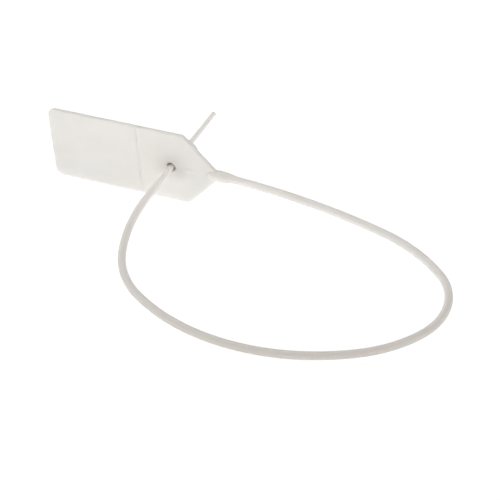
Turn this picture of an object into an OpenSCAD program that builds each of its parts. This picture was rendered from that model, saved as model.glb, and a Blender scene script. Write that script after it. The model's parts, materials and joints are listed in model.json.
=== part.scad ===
// Pull-tight security seal: a marking flag, a lock chamber and a round tail moulded in one,
// with a toothed steel insert and a cap in the chamber. The tail is bent round into its loop
// and its thin pilot is threaded through the chamber, short of the point where it locks.
//
// The seal is drawn lying flat with its front face up: x runs along the flag to the tail's
// root, y across the flag and z out of the front face, with the origin at the tail hole.
// It is then stood up as it rests, on the flag's lower edge and the far side of the loop.

/* [Flag] */
// Short side of the flag
flag_w = 25.5; // [20:0.5:32]
// From the tail hole to the flag's free end
panel_reach = 42.5; // [34:0.5:52]
// From the tail hole to where the shoulders begin to turn
shoulder_reach = 4.4; // [3.4:0.1:8]
// Thickness of the flag
flag_t = 1.5; // [1.1:0.05:1.8]
// Rounding along the flag's edges
edge_r = 0.4; // [0.2:0.05:0.5]
// Radius of the two corners at the free end
corner_r = 2.75; // [2:0.25:5]
// Radius of the two shoulder corners
shoulder_r = 1.5; // [1:0.1:2]

/* [Tear line] */
// From the tail hole to the line where the marking panel tears off
score_reach = 11.2; // [9:0.1:14]
// Width of the V groove
score_w = 1.1; // [0.5:0.1:1.5]
// Depth of the V groove in the front face
score_depth = 0.4; // [0.15:0.05:0.5]

/* [Stiffening rib] */
// From the tail hole to the middle of the rib's first end
rib_start = 5.4; // [4.5:0.1:6]
// Distance between the middles of the rib's round ends
rib_run = 3.2; // [2:0.1:4.5]
// Width of the rib on the front face
rib_w = 2.2; // [1.4:0.1:2.6]
// Height of the rib above the front face
rib_h = 0.2; // [0.15:0.05:0.5]

/* [Lock chamber] */
// Outside diameter of the chamber at the flag's back
chamber_d = 11.5; // [10.5:0.1:14]
// How far the chamber stands out of the flag's back
chamber_h = 7.8; // [6:0.1:9]
// How much narrower the chamber is at its mouth
chamber_draft = 0.2; // [0:0.05:0.5]
// Fillet where the chamber meets the flag
root_fillet = 0.8; // [0.4:0.1:1.5]
// Rounding of the chamber's outer rim
rim_r = 0.4; // [0.2:0.05:0.5]
// Diameter of the chamber's bore
bore_d = 8.6; // [8:0.1:9.4]
// Floor left behind the flag, under the insert
floor_t = 0.6; // [0.4:0.1:1]
// How far the lip at the mouth stands in over the cap
lip_in = 0.15; // [0.1:0.05:0.3]
// Height of the lip
lip_h = 0.5; // [0.4:0.05:0.8]
// Bevel round the tail hole in the front face
hole_bevel = 0.2; // [0.1:0.05:0.5]

/* [Tail root] */
// Diameter of the bulb at the tail's root
bulb_d = 3.7; // [3:0.1:4.4]
// How far the bulb's round end reaches onto the flag
bulb_inset = 3.1; // [2:0.1:4]
// Straight run of the bulb past the flag's nose
bulb_run = 1.6; // [1:0.1:5]
// Length of each half of the slope from the bulb to the tail
slope_half = 3.2; // [2.5:0.1:5]

/* [Tail] */
// Diameter of the tail
tail_d = 2.5; // [2.1:0.05:2.7]
// Diameter of the pilot where it enters the hole
pilot_d = 1.8; // [1.5:0.05:1.85]
// Diameter of the pilot's cut end
pilot_end_d = 1.55; // [1.2:0.05:1.7]
// From the front face to where the tail starts to thin
thin_start = 8; // [5:0.5:10]
// From the front face to where the pilot begins
pilot_start = 1.5; // [0.5:0.25:3]
// How far the pilot has been pulled through, from the front face
pilot_reach = 31.4; // [20:0.1:45]
// Bevel round the pilot's cut end
pilot_bevel = 0.15; // [0.05:0.05:0.3]

/* [Loop, from the root round to the hole] */
// Tilt of the tail as it leaves the root, in degrees
root_tilt = 4; // [2:0.5:6]
// Turn of the first bend, in degrees
turn_1 = 13; // [10:0.5:17]
// Radius of the second bend
bend_2 = 59; // [45:1:75]
// Turn of the second bend, in degrees
turn_2 = 25.5; // [20:0.5:30]
// Radius of the third bend
bend_3 = 21; // [17:0.5:26]
// Turn of the third bend, in degrees
turn_3 = 78.5; // [72:0.5:84]
// Radius of the fourth bend
bend_4 = 37; // [30:1:46]
// Turn of the fourth bend, in degrees
turn_4 = 29; // [24:0.5:34]
// Radius of the fifth bend
bend_5 = 66; // [54:1:80]
// Turn of the fifth bend, in degrees
turn_5 = 63; // [58:0.5:67]
// Radius of the sixth bend
bend_6 = 35; // [28:1:42]
// Turn of the sixth bend, in degrees
turn_6 = 34.5; // [30:0.5:38]
// Radius of the last bend
bend_7 = 71; // [58:1:86]

/* [Locking insert] */
// Thickness of the insert's steel
insert_t = 0.3; // [0.2:0.05:0.5]
// Width of the insert's flat rim
insert_rim = 1; // [0.7:0.1:1.3]
// How far the teeth rise towards the back
tooth_rise = 0.9; // [0.5:0.1:1.3]
// How deep each tooth bites into the full tail
tooth_bite = 0.13; // [0.05:0.01:0.15]
// Number of teeth
teeth = 6; // [4:1:8]
// Width of the slots between the teeth
slot_w = 0.5; // [0.3:0.05:0.6]

/* [Chamber cap] */
// Thickness of the cap's closed end
cap_end = 1.6; // [1:0.1:2.2]
// Wall of the cap's skirt
skirt_wall = 0.9; // [0.6:0.05:1.2]
// Bevel round the cap's edges and its exit hole
cap_bevel = 0.3; // [0.1:0.05:0.5]

/* [Fits] */
// Gap between the full tail and the sides of the tail hole
tail_gap = 0.3; // [0.2:0.05:0.6]
// Gap between the insert and the chamber's bore, at the side
insert_gap = 0.1; // [0.05:0.01:0.2]
// Gap between the cap and the chamber's bore, at the side
cap_gap = 0.05; // [0.03:0.01:0.15]
// Gap between the cap and the lip over it
lip_gap = 0.05; // [0:0.01:0.15]

/* [Hidden] */
$fn = 64;

// How far a cutting shape runs past the surface that it cuts.
clear = 1;
// How far the joints between the tail's bends stand out, so that each overlaps both bends.
joint_proud = 0.01;

tail_r = tail_d / 2;
hole_r = tail_r + tail_gap;
bulb_r = bulb_d / 2;
half_w = flag_w / 2;
axis_z = -flag_t / 2;

// The shoulders slope at this angle until they meet the side of the bulb, at the nose.
shoulder_slope = 46.75;
shoulder_corner = shoulder_reach + shoulder_r * tan(shoulder_slope / 2);
nose_x = shoulder_corner + (half_w - bulb_r) / tan(shoulder_slope);
bulb_x = nose_x - bulb_inset + bulb_r;
bulb_end = nose_x + bulb_run;
knuckle_x = bulb_end + slope_half;

// The bulb narrows to the tail in two arcs of one radius, tangent at the knuckle.
slope_drop = (bulb_r - tail_r) / 2;
slope_r = (slope_half * slope_half + slope_drop * slope_drop) / (2 * slope_drop);
slope_angle = asin(slope_half / slope_r);
knuckle_r = tail_r + slope_drop;
// A ball fills the kink at the knuckle. Its middle lies this far back, where it follows both arcs.
ball_back = knuckle_r * tan(slope_angle);
ball_r = knuckle_r / cos(slope_angle) + 2 * ball_back * sin(root_tilt / 2);

// The flag's rim is built from bars and turns, and its core overlaps the bars.
rim_depth = corner_r;
core_in = rim_depth - edge_r;
core_side = half_w - core_in;
core_shoulder = shoulder_reach + (shoulder_r - core_in) * tan(shoulder_slope / 2);
// The sloping bars end inside the bulb.
bar_end = half_w - bulb_r / 2;
slope_bar = bar_end / sin(shoulder_slope) - shoulder_r * tan(shoulder_slope / 2);

// The tail's bends as [radius, turn], in the plane of x and z. A heading is measured from x
// towards z, and a full loop ends at 270 degrees, straight into the hole.
hole_heading = 270;
turns_but_last = [turn_1, turn_2, turn_3, turn_4, turn_5, turn_6];
function sum(list, i = 0) = i < len(list) ? list[i] + sum(list, i + 1) : 0;
turn_7 = hole_heading - root_tilt - sum(turns_but_last);
turns = concat(turns_but_last, [turn_7]);
function heading(i) = i == 0 ? root_tilt : heading(i - 1) + turns[i - 1];
headings = [for (i = [0:len(turns)]) heading(i)];

function sweep(radius, from, to) = radius * [sin(to) - sin(from), cos(from) - cos(to)];
tail_start = [knuckle_x, axis_z] + slope_half * [cos(root_tilt), sin(root_tilt)];
later_radii = [bend_2, bend_3, bend_4, bend_5, bend_6, bend_7];
later_x = sum([for (i = [1:len(turns) - 1]) sweep(later_radii[i - 1], headings[i], headings[i + 1]).x]);
// The first bend's radius brings the loop's end back over the hole.
bend_1 = -(tail_start.x + later_x) / (sin(headings[1]) - sin(headings[0]));
radii = concat([bend_1], later_radii);
function bend_start(i) =
    i == 0 ? tail_start : bend_start(i - 1) + sweep(radii[i - 1], headings[i - 1], headings[i]);
loop_end = bend_start(len(radii));

// The loop's point where the tail has turned to a given heading.
function at_heading(h) =
    [for (i = [0:len(radii) - 1]) if (headings[i] <= h && h < headings[i + 1])
        bend_start(i) + sweep(radii[i], headings[i], h)][0];
loop_side = at_heading(90).x + tail_r;
loop_reach = at_heading(180).y;

// At rest the flag leans until its lower edge and the loop's far side are level.
lean_height = half_w - edge_r;
lean_length = loop_reach + edge_r;
lean = atan2(lean_height, lean_length) - asin((tail_r - edge_r) / norm([lean_height, lean_length]));
lift = loop_reach * sin(lean) + tail_r;
front_y = -loop_reach * cos(lean) - tail_r;
back_y = pilot_reach * cos(lean) + (pilot_end_d / 2 - pilot_bevel) * sin(lean);
mid_x = (loop_side - panel_reach) / 2;
mid_y = (front_y + back_y) / 2;

// Heights in the chamber are measured back from its floor.
bore_r = bore_d / 2;
chamber_depth = chamber_h - floor_t;
insert_r = bore_r - insert_gap;
tooth_r = tail_r - tooth_bite;
cap_r = bore_r - cap_gap;
cap_top = chamber_depth - lip_h - lip_gap;

module stand() {
    translate([-mid_x, -mid_y, lift]) rotate([90 + lean, 0, 0]) children();
}

module in_chamber() {
    translate([0, 0, -flag_t - floor_t]) rotate([180, 0, 0]) children();
}

module half_disc(radius) {
    intersection() {
        circle(radius);
        translate([0, -radius]) square([radius, 2 * radius]);
    }
}

// Section of the flag's rim: x runs inwards from the edge, y through the thickness.
module rim_section(depth) {
    translate([edge_r, -flag_t]) square([depth - edge_r, flag_t]);
    translate([0, edge_r - flag_t]) square([2 * edge_r, flag_t - 2 * edge_r]);
    for (y = [-edge_r, edge_r - flag_t])
        translate([edge_r, y]) circle(edge_r);
}

// Straight stretch of the rim along x, with its outer face at y = 0.
module rim_bar(length) {
    rotate([90, 0, 90]) linear_extrude(length) rim_section(rim_depth);
}

// Turn of the rim round the origin, from x towards y.
module rim_turn(radius, turn) {
    rotate_extrude(angle = turn) translate([radius, 0]) mirror([1, 0]) rim_section(radius);
}

module half_rim() {
    translate([corner_r - panel_reach, -half_w, 0]) {
        rim_bar(panel_reach - corner_r + shoulder_reach);
        translate([0, corner_r, 0]) rotate([0, 0, 180]) rim_turn(corner_r, 90);
    }
    translate([shoulder_reach, shoulder_r - half_w, 0]) {
        rotate([0, 0, -90]) rim_turn(shoulder_r, shoulder_slope);
        rotate([0, 0, shoulder_slope]) translate([0, -shoulder_r, 0]) rim_bar(slope_bar);
    }
}

module flag() {
    translate([0, 0, -flag_t]) linear_extrude(flag_t)
        polygon([[core_in - panel_reach, -core_side], [core_shoulder, -core_side],
                 [core_shoulder + core_side / tan(shoulder_slope), 0],
                 [core_shoulder, core_side], [core_in - panel_reach, core_side]]);
    half_rim();
    mirror([0, 1, 0]) half_rim();
    translate([-panel_reach, half_w - corner_r, 0]) rotate([0, 0, -90])
        rim_bar(flag_w - 2 * corner_r);
}

module score_groove() {
    translate([-score_reach, 0, 0]) rotate([90, 0, 0])
        linear_extrude(flag_w + 2 * clear, center = true)
            polygon([[0, -score_depth], [score_w / 2, 0], [score_w / 2, clear],
                     [-score_w / 2, clear], [-score_w / 2, 0]]);
}

// A shallow slice of a round-ended rod.
module rib() {
    crown_r = (rib_h * rib_h + rib_w * rib_w / 4) / (2 * rib_h);
    intersection() {
        translate([rib_start, 0, rib_h - crown_r]) rotate([0, 90, 0]) rotate_extrude() {
            square([crown_r, rib_run]);
            for (y = [0, rib_run])
                translate([0, y]) half_disc(crown_r);
        }
        translate([rib_start - rib_w, -rib_w, axis_z])
            cube([rib_run + 2 * rib_w, 2 * rib_w, rib_h - axis_z]);
    }
}

// Section of the chamber's outside: x is the radius, y the height behind the flag's back.
module chamber_section() {
    base = chamber_d / 2;
    mouth = base - chamber_draft;
    polygon([[0, axis_z], [base, axis_z], [base, root_fillet], [mouth, chamber_h - rim_r],
             [mouth - rim_r, chamber_h - rim_r], [mouth - rim_r, chamber_h], [0, chamber_h]]);
    translate([mouth - rim_r, chamber_h - rim_r]) circle(rim_r);
    difference() {
        translate([base - root_fillet, axis_z]) square([2 * root_fillet, root_fillet - axis_z]);
        translate([base + root_fillet, root_fillet]) circle(root_fillet);
    }
}

module chamber_wall() {
    translate([0, 0, -flag_t]) rotate([180, 0, 0]) rotate_extrude() chamber_section();
}

module tail_hole() {
    translate([0, 0, -flag_t - chamber_h]) cylinder(h = flag_t + chamber_h + clear, r = hole_r);
    translate([0, 0, -hole_bevel])
        cylinder(h = 2 * hole_bevel, r1 = hole_r, r2 = hole_r + 2 * hole_bevel);
}

module chamber_bore() {
    mouth_r = bore_r - lip_in;
    in_chamber() {
        cylinder(h = chamber_depth - lip_h, r = bore_r);
        cylinder(h = chamber_depth + clear, r = mouth_r);
        translate([0, 0, chamber_depth - lip_in])
            cylinder(h = 2 * lip_in, r1 = mouth_r, r2 = mouth_r + 2 * lip_in);
    }
}

// Convex half of the root, from the round end on the flag to the knuckle.
module bulb() {
    translate([bulb_x, 0, axis_z]) rotate([0, 90, 0]) rotate_extrude() {
        half_disc(bulb_r);
        square([bulb_r, bulb_end - bulb_x]);
        translate([0, bulb_end - bulb_x]) intersection() {
            square([bulb_r, slope_half]);
            translate([bulb_r - slope_r, 0]) circle(slope_r, $fn = 360);
        }
    }
}

// Concave half of the root, tilted at the knuckle to where the tail sets off.
module root_slope() {
    translate([knuckle_x, 0, axis_z]) {
        rotate([0, 90 - root_tilt / 2, 0]) translate([0, 0, -ball_back]) sphere(ball_r);
        rotate([0, 90 - root_tilt, 0]) rotate_extrude() difference() {
            square([bulb_r, slope_half]);
            translate([tail_r + slope_r, slope_half]) circle(slope_r, $fn = 360);
        }
    }
}

module bend(i) {
    start = bend_start(i);
    translate([start.x, 0, start.y]) rotate([90, 0, 0]) rotate([0, 0, headings[i]])
        translate([0, radii[i], 0]) rotate([0, 0, -90])
            rotate_extrude(angle = turns[i], $fn = 360)
                translate([radii[i], 0]) circle(tail_r, $fn = 32);
}

// Closes the joint where bend i sets off, or where the last bend meets the straight end.
module joint(i) {
    place = bend_start(i);
    translate([place.x, 0, place.y]) rotate([0, 90 - headings[i], 0]) sphere(tail_r + joint_proud);
}

// Straight end of the tail: full size, then thinning, then the pilot and its cut end.
module tail_end() {
    translate([0, 0, thin_start]) cylinder(h = loop_end.y - thin_start, r = tail_r);
    translate([0, 0, pilot_start])
        cylinder(h = thin_start - pilot_start, d1 = pilot_d, d2 = tail_d);
    translate([0, 0, pilot_bevel - pilot_reach])
        cylinder(h = pilot_start + pilot_reach - pilot_bevel, d1 = pilot_end_d, d2 = pilot_d);
    translate([0, 0, -pilot_reach])
        cylinder(h = pilot_bevel, d1 = pilot_end_d - 2 * pilot_bevel, d2 = pilot_end_d);
}

module seal_body() {
    color([0.92, 0.91, 0.89]) stand() {
        difference() {
            union() {
                flag();
                rib();
                chamber_wall();
            }
            score_groove();
            tail_hole();
            chamber_bore();
        }
        bulb();
        root_slope();
        for (i = [0:len(radii) - 1])
            bend(i);
        for (i = [0:len(radii)])
            joint(i);
        tail_end();
    }
}

// Slots between the teeth, each with a round end in the rim.
module tooth_slots(bend_r) {
    for (i = [0:teeth - 1])
        rotate([0, 0, i * 360 / teeth]) translate([0, 0, -clear])
            linear_extrude(tooth_rise + insert_t + 2 * clear) {
                translate([0, -slot_w / 2]) square([bend_r, slot_w]);
                translate([bend_r, 0]) circle(d = slot_w);
            }
}

module locking_insert() {
    bend_r = insert_r - insert_rim;
    color([0.72, 0.73, 0.75]) stand() in_chamber() difference() {
        rotate_extrude()
            polygon([[tooth_r, tooth_rise], [bend_r, 0], [insert_r, 0], [insert_r, insert_t],
                     [bend_r, insert_t], [tooth_r, tooth_rise + insert_t]]);
        tooth_slots(bend_r);
    }
}

module chamber_cap() {
    skirt_r = cap_r - skirt_wall;
    color([0.88, 0.87, 0.85]) stand() in_chamber() rotate_extrude()
        polygon([[skirt_r, insert_t], [cap_r, insert_t], [cap_r, cap_top - cap_bevel],
                 [cap_r - cap_bevel, cap_top], [hole_r + cap_bevel, cap_top],
                 [hole_r, cap_top - cap_bevel], [hole_r, cap_top - cap_end + cap_bevel],
                 [hole_r + cap_bevel, cap_top - cap_end], [skirt_r, cap_top - cap_end]]);
}

seal_body();
locking_insert();
chamber_cap();
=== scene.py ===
"""Looks for the pull-tight seal: moulded plastic and steel finishes, soft studio light, and a
camera at the photograph's angle. The CAD nodes are shown as they are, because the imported
meshes already carry every form. Lengths are in metres, apart from those named as mm.
"""

import json
import math

import bpy
from mathutils import Matrix, Vector

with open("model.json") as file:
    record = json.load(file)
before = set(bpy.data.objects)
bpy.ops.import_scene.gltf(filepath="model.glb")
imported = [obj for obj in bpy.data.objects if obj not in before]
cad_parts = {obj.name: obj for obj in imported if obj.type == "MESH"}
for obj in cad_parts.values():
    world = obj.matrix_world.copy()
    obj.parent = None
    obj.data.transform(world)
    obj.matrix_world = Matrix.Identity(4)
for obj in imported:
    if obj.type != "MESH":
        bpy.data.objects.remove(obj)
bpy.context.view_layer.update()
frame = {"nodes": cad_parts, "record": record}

MM = 0.001
WHITE = (1, 1, 1)
scene = bpy.context.scene

# The print panel's mount gives the middle of the flag's front face left of the score line, and
# the tail hole lies to its right in the same face.
PANEL_TO_HOLE = 26.85 * MM
mounts = {m["name"]: m for m in frame["record"]["mounts"]}
HOLE = Vector(mounts["print_panel"]["pos_m"]) + Vector((PANEL_TO_HOLE, 0, 0))

# How fine the plastic's patterns are, in noise cells a metre, and how deep the mould left them.
CLOUDS_PER_M = 110.0
RIPPLES_PER_M = 240.0
GRAINS_PER_M = 5200.0
RIPPLE_DEPTH = 0.05 * MM
GRAIN_DEPTH = 0.02 * MM
# The roughness goes up and down by this much with the grain.
ROUGHNESS_RANGE = 0.05
# How far light spreads inside the plastic, and the share of that for red, green and blue.
LIGHT_SPREAD = 4.0 * MM
SPREAD_BY_COLOUR = (1.0, 0.96, 0.9)
POLYPROPYLENE_IOR = 1.49

# The steel's scratches run along X: in noise cells a metre, along and across.
SCRATCHES_PER_M = (400, 14000, 14000)
SCRATCH_DEPTH = 0.004 * MM

# The floor's sides, and the share of light that its matt sheet gives back.
FLOOR_SIDE = 6.0
FLOOR_REFLECTANCE = 0.8
# The lamps point at the middle of the seal.
SEAL_MIDDLE = Vector((0.02, 0, 0.01))
SENSOR_MM = 36


# --- Materials -------------------------------------------------------------------------------


def new_material(name):
    """A material with an empty Principled shader: gives it, its node tree and the shader."""
    material = bpy.data.materials.new(name)
    material.use_nodes = True
    tree = material.node_tree
    tree.nodes.clear()
    shader = tree.nodes.new("ShaderNodeBsdfPrincipled")
    output = tree.nodes.new("ShaderNodeOutputMaterial")
    tree.links.new(shader.outputs["BSDF"], output.inputs["Surface"])
    return material, tree, shader


def add_node(tree, kind, **settings):
    """A new node, with settings for its inputs or, where it has none of that name, its own."""
    node = tree.nodes.new(kind)
    for key, value in settings.items():
        if key in node.inputs:
            node.inputs[key].default_value = value
        else:
            setattr(node, key, value)
    return node


def colour_ramp(tree, source, stops):
    """A ramp from a value output to colours, with stops as (place, linear colour)."""
    ramp = tree.nodes.new("ShaderNodeValToRGB")
    elements = ramp.color_ramp.elements
    for element, (place, colour) in zip(elements, (stops[0], stops[-1])):
        element.position = place
        element.color = (*colour, 1)
    for place, colour in stops[1:-1]:
        elements.new(place).color = (*colour, 1)
    tree.links.new(source, ramp.inputs["Fac"])
    return ramp.outputs["Color"]


def srgb(*values):
    """Display values from 0 to 1 as linear colour."""
    return tuple(v / 12.92 if v <= 0.04045 else ((v + 0.055) / 1.055) ** 2.4 for v in values)


def moulded_plastic(name, pale, deep, roughness):
    """Natural polypropylene: a faintly cloudy white, with light spreading inside it and a fine
    spark-eroded grain over slow ripples of the mould."""
    material, tree, shader = new_material(name)
    place = tree.nodes.new("ShaderNodeTexCoord").outputs["Object"]

    cloud = add_node(tree, "ShaderNodeTexNoise", Scale=CLOUDS_PER_M, Detail=3.0, Roughness=0.5)
    tree.links.new(place, cloud.inputs["Vector"])
    colour = colour_ramp(tree, cloud.outputs["Fac"], [(0.35, deep), (0.65, pale)])
    tree.links.new(colour, shader.inputs["Base Color"])

    grain = add_node(tree, "ShaderNodeTexNoise", Scale=GRAINS_PER_M, Detail=4.0, Roughness=0.6)
    ripple = add_node(tree, "ShaderNodeTexNoise", Scale=RIPPLES_PER_M, Detail=2.0, Roughness=0.4)
    for noise in (grain, ripple):
        tree.links.new(place, noise.inputs["Vector"])
    fine = add_node(tree, "ShaderNodeBump", Strength=0.35, Distance=GRAIN_DEPTH)
    slow = add_node(tree, "ShaderNodeBump", Strength=0.3, Distance=RIPPLE_DEPTH)
    tree.links.new(grain.outputs["Fac"], fine.inputs["Height"])
    tree.links.new(ripple.outputs["Fac"], slow.inputs["Height"])
    tree.links.new(slow.outputs["Normal"], fine.inputs["Normal"])
    tree.links.new(fine.outputs["Normal"], shader.inputs["Normal"])

    gloss = add_node(tree, "ShaderNodeMapRange")
    gloss.inputs["To Min"].default_value = roughness - ROUGHNESS_RANGE
    gloss.inputs["To Max"].default_value = roughness + ROUGHNESS_RANGE
    tree.links.new(grain.outputs["Fac"], gloss.inputs["Value"])
    tree.links.new(gloss.outputs["Result"], shader.inputs["Roughness"])

    shader.inputs["IOR"].default_value = POLYPROPYLENE_IOR
    shader.inputs["Subsurface Weight"].default_value = 1.0
    shader.inputs["Subsurface Radius"].default_value = SPREAD_BY_COLOUR
    shader.inputs["Subsurface Scale"].default_value = LIGHT_SPREAD
    return material


def rolled_steel(name, deep, pale):
    """Bright rolled stainless strip: long fine scratches along one direction."""
    material, tree, shader = new_material(name)
    place = tree.nodes.new("ShaderNodeTexCoord").outputs["Object"]
    stretch = add_node(tree, "ShaderNodeMapping", Scale=SCRATCHES_PER_M)
    tree.links.new(place, stretch.inputs["Vector"])
    lines = add_node(tree, "ShaderNodeTexNoise", Scale=1.0, Detail=5.0, Roughness=0.6)
    tree.links.new(stretch.outputs["Vector"], lines.inputs["Vector"])
    colour = colour_ramp(tree, lines.outputs["Fac"], [(0.3, deep), (0.7, pale)])
    tree.links.new(colour, shader.inputs["Base Color"])
    bump = add_node(tree, "ShaderNodeBump", Strength=0.3, Distance=SCRATCH_DEPTH)
    tree.links.new(lines.outputs["Fac"], bump.inputs["Height"])
    tree.links.new(bump.outputs["Normal"], shader.inputs["Normal"])
    shader.inputs["Metallic"].default_value = 1.0
    shader.inputs["Roughness"].default_value = 0.3
    return material


body_plastic = moulded_plastic(
    "body_plastic",
    pale=srgb(0.937, 0.926, 0.912),
    deep=srgb(0.922, 0.91, 0.892),
    roughness=0.42,
)
cap_plastic = moulded_plastic(
    "cap_plastic",
    pale=srgb(0.92, 0.912, 0.905),
    deep=srgb(0.905, 0.895, 0.885),
    roughness=0.36,
)
insert_steel = rolled_steel(
    "insert_steel", deep=srgb(0.76, 0.74, 0.72), pale=srgb(0.85, 0.83, 0.81)
)

finishes = {
    "seal_body": body_plastic,
    "locking_insert": insert_steel,
    "chamber_cap": cap_plastic,
}
for node, material in finishes.items():
    mesh = frame["nodes"][node].data
    mesh.materials.clear()
    mesh.materials.append(material)


# --- Floor, light and camera -----------------------------------------------------------------


def shown_to_camera(tree, seen, unseen):
    """Mixes two shaders: seen for camera, glossy and transmission rays, unseen for the rest."""
    path = tree.nodes.new("ShaderNodeLightPath")
    largest = path.outputs["Is Camera Ray"]
    for kind in ("Is Glossy Ray", "Is Transmission Ray"):
        join = add_node(tree, "ShaderNodeMath", operation="MAXIMUM")
        tree.links.new(largest, join.inputs[0])
        tree.links.new(path.outputs[kind], join.inputs[1])
        largest = join.outputs["Value"]
    mix = tree.nodes.new("ShaderNodeMixShader")
    tree.links.new(largest, mix.inputs["Fac"])
    tree.links.new(unseen, mix.inputs[1])
    tree.links.new(seen, mix.inputs[2])
    return mix.outputs["Shader"]


def lit_sheet(tree, distance, stops):
    """A matt sheet with light added by distance, with stops as (mm, linear colour)."""
    near, far = stops[0][0], stops[-1][0]
    share = add_node(tree, "ShaderNodeMapRange")
    share.inputs["From Min"].default_value = near * MM
    share.inputs["From Max"].default_value = far * MM
    tree.links.new(distance, share.inputs["Value"])
    brightest = max(max(colour) for place, colour in stops)
    ramp_stops = [
        ((place - near) / (far - near), [part / brightest for part in colour])
        for place, colour in stops
    ]
    glow = colour_ramp(tree, share.outputs["Result"], ramp_stops)
    light = add_node(tree, "ShaderNodeEmission", Strength=brightest)
    tree.links.new(glow, light.inputs["Color"])
    matt = add_node(tree, "ShaderNodeBsdfDiffuse", Color=(FLOOR_REFLECTANCE,) * 3 + (1,))
    both = tree.nodes.new("ShaderNodeAddShader")
    tree.links.new(matt.outputs["BSDF"], both.inputs[0])
    tree.links.new(light.outputs["Emission"], both.inputs[1])
    return both.outputs["Shader"]


def make_floor(lamps, white):
    """A lit table: a pale matt sheet with lamps under it, which the camera sees as white.
    lamps gives their light from front to back as (place in Y in mm, linear colour), and they
    are dimmed under the object. white gives the light the camera sees instead, as (distance
    from the origin in mm, grey): with what falls on the sheet it makes just white, so that the
    object's shadow is kept."""
    half = FLOOR_SIDE / 2
    mesh = bpy.data.meshes.new("floor")
    corners = [(-half, -half, 0), (half, -half, 0), (half, half, 0), (-half, half, 0)]
    mesh.from_pydata(corners, [], [(0, 1, 2, 3)])
    floor = bpy.data.objects.new("floor", mesh)
    scene.collection.objects.link(floor)
    material = bpy.data.materials.new("floor")
    material.use_nodes = True
    tree = material.node_tree
    tree.nodes.clear()
    place = tree.nodes.new("ShaderNodeNewGeometry").outputs["Position"]
    axes = tree.nodes.new("ShaderNodeSeparateXYZ")
    away = add_node(tree, "ShaderNodeVectorMath", operation="LENGTH")
    tree.links.new(place, axes.inputs["Vector"])
    tree.links.new(place, away.inputs[0])
    white_stops = [(distance, (grey,) * 3) for distance, grey in white]
    seen = lit_sheet(tree, away.outputs["Value"], white_stops)
    unseen = lit_sheet(tree, axes.outputs["Y"], lamps)
    output = tree.nodes.new("ShaderNodeOutputMaterial")
    tree.links.new(shown_to_camera(tree, seen, unseen), output.inputs["Surface"])
    mesh.materials.append(material)


def make_world(room, wall):
    """A studio that lights the object from every side: grey walls behind it, and a darker,
    warmer room on the camera's side. The camera sees it as white."""
    world = bpy.data.worlds.new("studio")
    scene.world = world
    world.use_nodes = True
    tree = world.node_tree
    tree.nodes.clear()
    white = add_node(tree, "ShaderNodeBackground", Color=(*WHITE, 1), Strength=1.0)
    axes = tree.nodes.new("ShaderNodeSeparateXYZ")
    direction = tree.nodes.new("ShaderNodeTexCoord").outputs["Generated"]
    tree.links.new(direction, axes.inputs["Vector"])
    back = add_node(tree, "ShaderNodeMapRange")
    back.inputs["From Min"].default_value = -1
    tree.links.new(axes.outputs["Y"], back.inputs["Value"])
    shade = colour_ramp(tree, back.outputs["Result"], [(0.0, room), (1.0, wall)])
    soft = add_node(tree, "ShaderNodeBackground", Strength=1.0)
    tree.links.new(shade, soft.inputs["Color"])
    output = tree.nodes.new("ShaderNodeOutputWorld")
    shader = shown_to_camera(tree, white.outputs["Background"], soft.outputs["Background"])
    tree.links.new(shader, output.inputs["Surface"])


def make_softbox(name, azimuth, elevation, distance, size, watts, colour=WHITE):
    turn, rise = math.radians(azimuth), math.radians(elevation)
    back = Vector(
        (math.sin(turn) * math.cos(rise), -math.cos(turn) * math.cos(rise), math.sin(rise))
    )
    data = bpy.data.lights.new(name, "AREA")
    data.shape = "SQUARE"
    data.size = size
    data.energy = watts
    data.color = colour
    lamp = bpy.data.objects.new(name, data)
    scene.collection.objects.link(lamp)
    lamp.location = SEAL_MIDDLE + back * distance
    lamp.rotation_mode = "QUATERNION"
    lamp.rotation_quaternion = (-back).to_track_quat("-Z", "Y")


def make_camera(azimuth, elevation, lens, offset_mm):
    """offset_mm is where the tail hole lies from the camera: right, up and ahead."""
    turn, rise = math.radians(azimuth), math.radians(elevation)
    right = Vector((math.cos(turn), math.sin(turn), 0))
    ahead = Vector(
        (-math.sin(turn) * math.cos(rise), math.cos(turn) * math.cos(rise), -math.sin(rise))
    )
    up = right.cross(ahead)
    data = bpy.data.cameras.new("camera")
    data.sensor_width = SENSOR_MM
    data.lens = lens
    data.clip_start = 0.05
    data.clip_end = 10
    camera = bpy.data.objects.new("camera", data)
    scene.collection.objects.link(camera)
    to_hole = [distance * MM for distance in offset_mm]
    place = HOLE - (right * to_hole[0] + up * to_hole[1] + ahead * to_hole[2])
    axes = Matrix((right, up, -ahead)).transposed()
    camera.matrix_world = Matrix.Translation(place) @ axes.to_4x4()
    scene.camera = camera


make_floor(
    lamps=[
        (-220, (2.65, 2.75, 2.6)),
        (-100, (1.75, 1.7, 1.75)),
        (-65, (0.39, 0.37, 0.33)),
        (-25, (0.22, 0.25, 0.245)),
        (5, (0.65, 0.675, 0.685)),
    ],
    white=[(110, 0.68), (200, 0.78), (900, 0.92)],
)
make_world(room=(0.05, 0.047, 0.043), wall=(0.17, 0.17, 0.17))
make_softbox(
    "left", azimuth=-62, elevation=15, distance=0.9, size=0.6, watts=1.65, colour=(1, 0.9, 0.83)
)
make_softbox(
    "right", azimuth=66, elevation=15, distance=0.9, size=0.6, watts=1.95, colour=(1, 0.84, 0.79)
)
make_softbox("top", azimuth=180, elevation=70, distance=0.16, size=0.2, watts=0.057)
make_softbox("top left", azimuth=-90, elevation=60, distance=0.4, size=0.4, watts=0.49)
make_softbox("top right", azimuth=90, elevation=60, distance=0.4, size=0.4, watts=0.03)
make_camera(azimuth=24.83, elevation=29.70, lens=144, offset_mm=(-24.595, 25.635, 621.68))

scene.view_settings.view_transform = "Standard"
